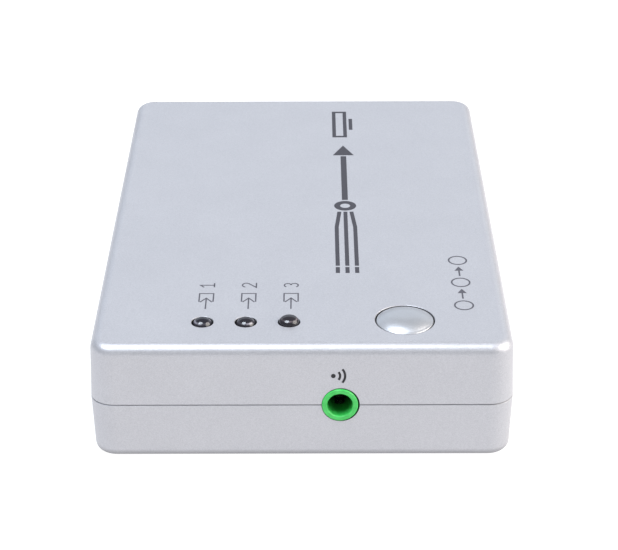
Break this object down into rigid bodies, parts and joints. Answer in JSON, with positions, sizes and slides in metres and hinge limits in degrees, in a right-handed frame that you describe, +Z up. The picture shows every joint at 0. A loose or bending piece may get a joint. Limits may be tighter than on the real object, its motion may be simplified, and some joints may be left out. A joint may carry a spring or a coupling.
{
  "type": "hdmi switch box",
  "caption": "Small flat silver box that switches one of several video inputs to a single output, with a select button, input lamps and a jack for a remote eye.",
  "frame": {"origin": "centre of the flat base", "axes": "+Z up, +Y away from the end with the remote eye's jack, +X towards the output and power side"},
  "size_m": [0.06, 0.0909, 0.0191],
  "materials": {
    "case_paint": "satin silver paint on moulded plastic",
    "button_paint": "satin silver paint on moulded plastic",
    "screw_steel": "bright zinc plate",
    "board_laminate": "green solder mask",
    "socket_steel": "nickel plate",
    "socket_black": "black moulded plastic",
    "contact_gold": "gold plate",
    "jack_green": "green moulded plastic",
    "jack_black": "black moulded plastic",
    "spring_metal": "tin plate",
    "pin_metal": "nickel plate",
    "lamp_lens": "smoky clear epoxy",
    "lead_tin": "tin plate",
    "switch_black": "black moulded plastic",
    "chip_black": "black moulded epoxy",
    "can_metal": "bare drawn can",
    "crystal_metal": "nickel plate",
    "resistor_black": "black glaze",
    "capacitor_tan": "matt tan ceramic"
  },
  "bodies": {
    "case": {"top_shell": "case_paint", "bottom_shell": "case_paint", "case_screws": "screw_steel", "main_board": "board_laminate", "power_jack_housing": "jack_black", "power_jack_pin": "pin_metal", "power_jack_spring": "spring_metal", "ir_jack_body": "jack_green", "ir_jack_springs": "spring_metal", "led_1": "lamp_lens", "led_2": "lamp_lens", "led_3": "lamp_lens", "led_leads": "lead_tin", "switch_base": "switch_black", "switch_cover": "socket_steel", "switch_dome": "spring_metal", "switch_terminals": "lead_tin", "switch_chip": "chip_black", "switch_chip_leads": "lead_tin", "control_chip": "chip_black", "control_chip_leads": "lead_tin", "regulator": "chip_black", "regulator_leads": "lead_tin", "capacitor_bases": "chip_black", "capacitor_cans": "can_metal", "crystal": "crystal_metal", "chip_resistors": "resistor_black", "chip_capacitors": "capacitor_tan", "input_1_shell": "socket_steel", "input_1_insulator": "socket_black", "input_1_contacts": "contact_gold", "input_2_shell": "socket_steel", "input_2_insulator": "socket_black", "input_2_contacts": "contact_gold", "input_3_shell": "socket_steel", "input_3_insulator": "socket_black", "input_3_contacts": "contact_gold", "output_shell": "socket_steel", "output_insulator": "socket_black", "output_contacts": "contact_gold"},
    "button": {"select_button": "button_paint"},
    "plunger": {"switch_plunger": "switch_black"}
  },
  "joints": [
    {"name": "button_press", "type": "slide", "parent": "case", "child": "button", "axis": [0, 0, -1], "range_m": [0, 0.0003], "stiffness_N_per_m": 800, "springref_m": -0.0005},
    {"name": "plunger_press", "type": "slide", "parent": "case", "child": "plunger", "axis": [0, 0, -1], "range_m": [0, 0.0003], "deforming": ["switch_dome"]}
  ],
  "couplings": [
    {"joint": "plunger_press", "follows": "button_press", "ratio": 1}
  ]
}
